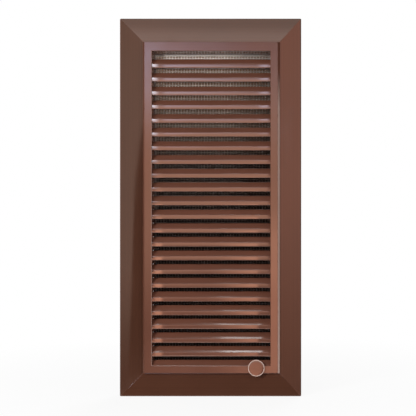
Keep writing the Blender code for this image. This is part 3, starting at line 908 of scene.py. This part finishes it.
def threaded(bm, place, direction, head, shank_radius, start, end, tip):
    """A screw along Y. head is a profile of (radius, y) pairs up to the shank. The thread is a
    helical swelling of a core, and the last stretch runs to a point."""
    sizes = settings().screws
    core = shank_radius * (1 - sizes.thread_share)
    count = round(abs(end - start) / (sizes.thread_pitch / RINGS_A_TURN))
    rings = []
    for radius, y in head:
        rings.append([(radius, y)] * SCREW_STEPS)
    for number in range(count + 1):
        y = start + (end - start) * number / count
        to_tip = min(abs(end - y) / tip, 1.0)
        ring = []
        for step in range(SCREW_STEPS):
            turns = abs(y - start) / sizes.thread_pitch - direction * step / SCREW_STEPS
            crest = 1 - abs(2 * (turns % 1.0) - 1)
            swell = (shank_radius - core) * max(2 * crest - 1, 0.0)
            ring.append(((core + swell) * to_tip + shank_radius * 0.08 * (1 - to_tip), y))
        rings.append(ring)
    skins = []
    for ring in rings:
        skin = []
        for step, (radius, y) in enumerate(ring):
            angle = 2 * math.pi * step / SCREW_STEPS
            x = place[0] + radius * math.cos(angle)
            z = place[1] + radius * math.sin(angle)
            skin.append(bm.verts.new((x, y, z)))
        skins.append(skin)
    loft(bm, skins)


def cross_cutter(place, radius, top, depth, out):
    """A tapered cross that cuts the recess in a screw's head. out is the way the head faces."""
    arm = radius * settings().screws.recess_share
    half = arm / 3
    bm = bmesh.new()
    rings = []
    for reach, y in ((0.45, top - out * depth), (1.0, top), (1.15, top + out * depth)):
        outline = []
        for turn in range(4):
            along = Vector((math.cos(math.pi / 2 * turn), math.sin(math.pi / 2 * turn)))
            side = Vector((-along.y, along.x))
            for length, offset in ((arm, -half), (arm, half), (half, half)):
                point = (along * length + side * offset) * reach
                outline.append(bm.verts.new((place[0] + point.x, y, place[1] + point.y)))
        rings.append(outline)
    loft(bm, rings)
    bmesh.ops.recalc_face_normals(bm, faces=bm.faces)
    return bm


def cut_away(bm, cutter_bm):
    """The first mesh less the second."""
    objects = []
    for name, shape in (("blank", bm), ("cutter", cutter_bm)):
        bmesh.ops.recalc_face_normals(shape, faces=shape.faces)
        mesh = bpy.data.meshes.new(name)
        shape.to_mesh(mesh)
        shape.free()
        made = bpy.data.objects.new(name, mesh)
        bpy.context.scene.collection.objects.link(made)
        objects.append(made)
    blank, cutter = objects
    cut = blank.modifiers.new("cut", "BOOLEAN")
    cut.operation = "DIFFERENCE"
    cut.solver = "EXACT"
    cut.object = cutter
    graph = bpy.context.evaluated_depsgraph_get()
    result = bmesh.new()
    result.from_mesh(blank.evaluated_get(graph).to_mesh())
    for made in objects:
        mesh = made.data
        bpy.data.objects.remove(made)
        bpy.data.meshes.remove(mesh)
    return result


def make_screw(node_name, head_shape, shank_radius, out):
    """One screw in the place of its solid. out is the way its head faces along Y."""
    low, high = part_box(node_name)
    place = ((low.x + high.x) / 2, (low.z + high.z) / 2)
    head_radius = (high.x - low.x) / 2
    top, end = (low.y, high.y) if out < 0 else (high.y, low.y)
    head = [(head_radius * share, top - out * down * MILLIMETRE) for share, down in head_shape]
    bm = bmesh.new()
    threaded(bm, place, -out, head, shank_radius, head[-1][1], end, shank_radius * 1.4)
    depth = settings().screws.recess_depth
    bm = cut_away(bm, cross_cutter(place, head_radius, top, depth, out))
    name, body = f"threaded_{node_name}", BODY_OF[node_name]
    screw = new_object(name, bm, zinc_finish(), body)
    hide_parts(node_name)


class VENT_OT_screws(Operator):
    """Turn and thread the fixing screws and the retainer screws, and cut their cross recesses"""

    bl_idname = "louvre_vent.screws"
    bl_label = "Screws"

    def execute(self, context):
        sizes = settings().screws
        for node_name in FIXING_NODES:
            make_screw(node_name, COUNTERSUNK_HEAD, sizes.fixing_radius, -1)
        for node_name in RETAINER_SCREW_NODES:
            make_screw(node_name, PAN_HEAD, sizes.retainer_radius, 1)
        return {"FINISHED"}


def arc(middle, radius, start, end, steps):
    """Points of an arc as (radius, y) pairs. Angles are in degrees."""
    points = []
    for step in range(steps + 1):
        angle = math.radians(start + (end - start) * step / steps)
        points.append((middle[0] + radius * math.cos(angle), middle[1] + radius * math.sin(angle)))
    return points


class VENT_OT_badge(Operator):
    """Turn the bare badge with its dished face, raised rim and pin"""

    bl_idname = "louvre_vent.badge"
    bl_label = "Badge"

    def execute(self, context):
        sizes = settings().badge
        low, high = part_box("badge_disc")
        place = ((low.x + high.x) / 2, (low.z + high.z) / 2)
        radius = (high.x - low.x) / 2
        front, back = low.y, low.y + sizes.height
        edge = sizes.rim_round
        inner = radius - sizes.rim
        floor = front + sizes.dish
        # The dished face rises a little towards its edge
        profile = [(0.0, floor)]
        for step in range(1, 13):
            share = step / 13
            profile.append((inner * share, floor - sizes.dish * 0.12 * share**3))
        profile += arc((inner + edge, front + edge), edge, 180, 270, 5)
        profile += arc((radius - edge, front + edge), edge, 270, 360, 5)
        profile += [(radius, back - edge / 2), (radius - edge / 2, back)]
        profile += [(sizes.pin_radius, back), (sizes.pin_radius, high.y - edge)]
        profile += [(sizes.pin_radius - edge, high.y), (0.0, high.y)]
        bm = bmesh.new()
        turned(bm, profile, BADGE_STEPS, place)
        badge = new_object("turned_badge", bm, badge_finish(), "insert")
        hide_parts("badge_disc")
        return {"FINISHED"}


def soft_span(tree, level, value, span):
    """A level, kept where a value lies in a span. The span gives where it starts, is full, begins
    to fade and ends."""
    start, full, fading, end = span
    for dark, bright in ((start, full), (end, fading)):
        edge = add_node(
            tree,
            "ShaderNodeMapRange",
            {"Value": value, "From Min": dark, "From Max": bright},
            interpolation_type="SMOOTHSTEP",
        )
        kept = add_node(
            tree, "ShaderNodeMath", {0: level, 1: edge.outputs[0]}, operation="MULTIPLY"
        )
        level = kept.outputs[0]
    return level


def studio_world():
    """White for the camera and even for matt light. Gloss sees a dim room with soft panels, each
    given by its azimuth to the right of straight ahead and its elevation, in degrees."""
    studio = settings().studio
    world = bpy.data.worlds.new("plain_studio")
    world.use_nodes = True
    tree = world.node_tree
    tree.nodes.clear()

    place = add_node(tree, "ShaderNodeTexCoord").outputs["Generated"]
    parts = add_node(tree, "ShaderNodeSeparateXYZ", {"Vector": place})
    x, y, z = parts.outputs["X"], parts.outputs["Y"], parts.outputs["Z"]
    ahead = add_node(tree, "ShaderNodeMath", {0: y, 1: -1.0}, operation="MULTIPLY")
    turn = add_node(tree, "ShaderNodeMath", {0: x, 1: ahead.outputs[0]}, operation="ARCTAN2")
    climb = add_node(tree, "ShaderNodeMath", {0: z}, operation="ARCSINE")
    azimuth, elevation = (
        add_node(tree, "ShaderNodeMath", {0: angle.outputs[0]}, operation="DEGREES").outputs[0]
        for angle in (turn, climb)
    )

    seen_by_gloss = []
    for tint, level, across, up in STUDIO_PANELS:
        level = soft_span(tree, soft_span(tree, level, azimuth, across), elevation, up)
        seen_by_gloss.append((tint, level))
    slants = []
    for climb, start, full in WALL_SLANTS:
        lean = add_node(tree, "ShaderNodeMath", {0: z, 1: climb, 2: x}, operation="MULTIPLY_ADD")
        slant = add_node(
            tree,
            "ShaderNodeMapRange",
            {"Value": lean.outputs[0], "From Min": start, "From Max": full},
            interpolation_type="SMOOTHSTEP",
        )
        slants.append(slant.outputs[0])
    bent = add_node(tree, "ShaderNodeMath", {0: slants[0], 1: slants[1]}, operation="MAXIMUM")
    tint, level, across, up = CAMERA_WALL
    wall = add_node(tree, "ShaderNodeMath", {0: level, 1: bent.outputs[0]}, operation="MULTIPLY")
    wall_level = soft_span(tree, wall.outputs[0], azimuth, across)
    seen_by_gloss.append((tint, soft_span(tree, wall_level, elevation, up)))
    tint, level, sideways, up = LAMP_TUBE
    tube_level = soft_span(tree, soft_span(tree, level, x, sideways), elevation, up)
    seen_by_gloss.append((tint, tube_level))

    room = add_node(tree, "ShaderNodeCombineXYZ", dict.fromkeys("XYZ", DIM_ROOM))
    for tint, level in seen_by_gloss:
        glow = add_node(
            tree,
            "ShaderNodeVectorMath",
            {0: linear(tint)[:3], "Scale": level},
            operation="SCALE",
        )
        room = add_node(
            tree,
            "ShaderNodeVectorMath",
            {0: room.outputs[0], 1: glow.outputs[0]},
            operation="ADD",
        )

    ways = add_node(tree, "ShaderNodeLightPath")
    even = [studio.ambient] * 3 + [1.0]
    unseen = add_node(
        tree,
        "ShaderNodeMix",
        {"Factor": ways.outputs["Is Glossy Ray"], MIX_A: even, MIX_B: room.outputs[0]},
        data_type="RGBA",
    )
    seen = add_node(
        tree,
        "ShaderNodeMix",
        {
            "Factor": ways.outputs["Is Camera Ray"],
            MIX_A: unseen.outputs[MIXED],
            MIX_B: studio.white,
        },
        data_type="RGBA",
    )
    light = add_node(tree, "ShaderNodeBackground", {"Color": seen.outputs[MIXED]})
    add_node(tree, "ShaderNodeOutputWorld", {"Surface": light.outputs[0]})
    bpy.context.scene.world = world


def new_paint(name):
    """The material and empty node tree of a studio piece, with the ways that light meets it."""
    made = bpy.data.materials.new(name)
    made.use_nodes = True
    tree = made.node_tree
    tree.nodes.clear()
    return made, tree, add_node(tree, "ShaderNodeLightPath").outputs


def floor_paint():
    """Matt white paint. The camera sees it white but for the vent's soft shadow, which fades out
    well before the horizon. Matt colour sees it throw light up near the vent. Gloss sees the
    studio's own pale floor instead."""
    studio = settings().studio
    made, tree, ways = new_paint("matt_white_floor")
    place = add_node(tree, "ShaderNodeTexCoord").outputs["Object"]
    far = add_node(tree, "ShaderNodeVectorMath", {0: place}, operation="LENGTH").outputs["Value"]
    # The shadow fades out between 100 and 450 mm from the vent
    glowing = add_node(
        tree,
        "ShaderNodeMapRange",
        {"Value": far, "From Min": 0.10, "From Max": 0.45, "To Min": 0.86, "To Max": 1.0},
    )
    paint = add_node(tree, "ShaderNodeBsdfDiffuse", {"Color": linear("f4f4f4")})
    glow = add_node(tree, "ShaderNodeEmission", {"Color": studio.white})
    seen = add_node(
        tree,
        "ShaderNodeMixShader",
        {0: glowing.outputs[0], 1: paint.outputs[0], 2: glow.outputs[0]},
    )
    # The bounce all but ends 360 mm from the vent
    fading = add_node(
        tree,
        "ShaderNodeMapRange",
        {
            "Value": far,
            "From Min": 0.10,
            "From Max": 0.36,
            "To Min": studio.bounce,
            "To Max": studio.bounce * 0.04,
        },
    )
    bounce = add_node(
        tree,
        "ShaderNodeEmission",
        {"Strength": fading.outputs[0], "Color": studio.white},
    )
    clear = add_node(tree, "ShaderNodeBsdfTransparent")
    by_camera = add_node(
        tree,
        "ShaderNodeMixShader",
        {0: ways["Is Camera Ray"], 1: bounce.outputs[0], 2: seen.outputs[0]},
    )
    by_gloss = add_node(
        tree,
        "ShaderNodeMixShader",
        {0: ways["Is Glossy Ray"], 1: by_camera.outputs[0], 2: clear.outputs[0]},
    )
    add_node(tree, "ShaderNodeOutputMaterial", {"Surface": by_gloss.outputs[0]})
    return made


def duct_shade_paint():
    """A card behind the net, a dark sheet that paints the shade seen through the net from the
    front, with painted light glowing in its upper part, less of it at the right. From the rear it
    is open."""
    studio = settings().studio
    made, tree, ways = new_paint("painted_duct_shade")
    side = add_node(tree, "ShaderNodeNewGeometry")
    from_rear = add_node(
        tree,
        "ShaderNodeMath",
        {0: side.outputs["Backfacing"], 1: ways["Transparent Depth"]},
        operation="ADD",
        use_clamp=True,
    )
    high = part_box("insect_mesh")[1]
    # Painted light: the card glows in its upper part, less of it at the right
    share = share_by_place(
        tree,
        ("Z", high.z * 0.3, high.z, "LINEAR"),
        ("X", high.x * 1.6, high.x * 0.2, "LINEAR"),
    )
    lit = add_node(
        tree,
        "ShaderNodeMix",
        {"Factor": share, MIX_A: studio.shade, MIX_B: studio.painted_duct_light},
        data_type="RGBA",
    )
    # The card's dark glow is painted shade
    depth = add_node(tree, "ShaderNodeEmission", {"Color": lit.outputs[MIXED]})
    clear = add_node(tree, "ShaderNodeBsdfTransparent")
    mixed = add_node(
        tree,
        "ShaderNodeMixShader",
        {0: from_rear.outputs[0], 1: depth.outputs[0], 2: clear.outputs[0]},
    )
    add_node(tree, "ShaderNodeOutputMaterial", {"Surface": mixed.outputs[0]})
    return made


def flat_card(name, corner, across, along, paint):
    """A flat card that belongs to the studio, from one corner and its two edges from there."""
    corner, across, along = Vector(corner), Vector(across), Vector(along)
    corners = (corner, corner + across, corner + across + along, corner + along)
    bm = bmesh.new()
    bm.faces.new([bm.verts.new(point) for point in corners])
    mesh = bpy.data.meshes.new(name)
    bm.to_mesh(mesh)
    bm.free()
    card = bpy.data.objects.new(name, mesh)
    bpy.context.scene.collection.objects.link(card)
    mesh.materials.append(paint)
    return card


def add_lamp(name, place, size, level):
    """A soft rectangular lamp aimed at the vent. It lights only matt colour, at its level there,
    where 1 shows a colour as it is written."""
    data = bpy.data.lights.new(name, "AREA")
    data.shape = "RECTANGLE"
    data.size, data.size_y = size
    data.energy = level * math.pi**2 * Vector(place).length_squared
    lamp = bpy.data.objects.new(name, data)
    bpy.context.scene.collection.objects.link(lamp)
    lamp.location = place
    lamp.rotation_euler = (-Vector(place)).to_track_quat("-Z", "Y").to_euler()
    lamp.visible_glossy = False
    lamp.visible_camera = False


def polar(azimuth, elevation, distance):
    """A place by its angle to the right of straight ahead and its angle up, in degrees."""
    a, e = math.radians(azimuth), math.radians(elevation)
    return Vector((math.sin(a) * math.cos(e), -math.cos(a) * math.cos(e), math.sin(e))) * distance


class VENT_OT_studio(Operator):
    """Set the floor, the painted shade card behind the net, the lamps and the camera"""

    bl_idname = "louvre_vent.studio"
    bl_label = "Studio"

    def execute(self, context):
        scene = context.scene
        scene.view_settings.view_transform = "Standard"
        studio = settings().studio
        studio_world()

        low = CAD_BOX[0]
        span = 2 * FLOOR_HALF
        corner = (-FLOOR_HALF, -FLOOR_HALF, low.z)
        flat_card("floor", corner, (span, 0, 0), (0, span, 0), floor_paint())

        # A dark card behind the net paints the shade seen through it, with painted light at its
        # top
        net_low, net_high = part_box("insect_mesh")
        corner = (net_low.x, net_high.y + 0.15 * MILLIMETRE, net_low.z)
        across, up = (net_high.x - net_low.x, 0, 0), (0, 0, net_high.z - net_low.z)
        shade_card = flat_card("painted_duct_shade", corner, across, up, duct_shade_paint())
        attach(shade_card, "insert")

        add_lamp("window_lamp", Vector((-0.40, -0.58, 0.17)), (0.16, 0.10), studio.window_level)
        add_lamp("side_lamp", polar(62, 4, 0.8), (0.2, 0.3), studio.side_level)
        add_lamp("upper_lamp", polar(0, 45, 1.0), (0.5, 0.2), studio.upper_level)
        add_lamp("rear_lamp", polar(160, 24, 1.5), (0.8, 0.8), studio.rear_level)

        data = bpy.data.cameras.new("camera")
        camera = bpy.data.objects.new("camera", data)
        scene.collection.objects.link(camera)
        to_front = studio.camera_distance + low.y
        data.sensor_width = SENSOR_WIDTH
        data.lens = SENSOR_WIDTH * to_front / studio.frame_width
        camera.location = (studio.camera_right, -studio.camera_distance, -studio.camera_down)
        camera.rotation_euler = (math.radians(90), 0, 0)
        data.shift_x = -(studio.camera_right + studio.middle_left) / studio.frame_width
        data.shift_y = (studio.camera_down - studio.middle_down) / studio.frame_width
        data.clip_start = 0.01
        scene.camera = camera
        return {"FINISHED"}


OPERATORS = (
    VENT_OT_surround,
    VENT_OT_louvre_frame,
    VENT_OT_slats,
    VENT_OT_insect_net,
    VENT_OT_retainer,
    VENT_OT_screws,
    VENT_OT_badge,
    VENT_OT_studio,
)


class VENT_PT_sidebar(Panel):
    """Settings and pieces of the vent"""

    bl_label = "Louvre Vent"
    bl_space_type = "VIEW_3D"
    bl_region_type = "UI"
    bl_category = "Louvre Vent"

    def draw(self, context):
        vent = settings()
        for title in ("slats", "net", "screws", "badge", "finish", "studio"):
            box = self.layout.box()
            box.label(text=title.capitalize())
            group = getattr(vent, title)
            for name in group.__annotations__:
                box.prop(group, name)
        for operator in OPERATORS:
            self.layout.operator(operator.bl_idname)


CLASSES = (
    SlatSettings,
    NetSettings,
    ScrewSettings,
    BadgeSettings,
    FinishSettings,
    StudioSettings,
    VentSettings,
    *OPERATORS,
    VENT_PT_sidebar,
)


def register():
    for item in CLASSES:
        bpy.utils.register_class(item)
    bpy.types.Scene.louvre_vent = PointerProperty(type=VentSettings)


def unregister():
    del bpy.types.Scene.louvre_vent
    for item in reversed(CLASSES):
        bpy.utils.unregister_class(item)


def main():
    register()
    bpy.ops.louvre_vent.surround()
    bpy.ops.louvre_vent.louvre_frame()
    bpy.ops.louvre_vent.slats()
    bpy.ops.louvre_vent.insect_net()
    bpy.ops.louvre_vent.retainer()
    bpy.ops.louvre_vent.screws()
    bpy.ops.louvre_vent.badge()
    bpy.ops.louvre_vent.studio()


if __name__ == "__main__":
    main()
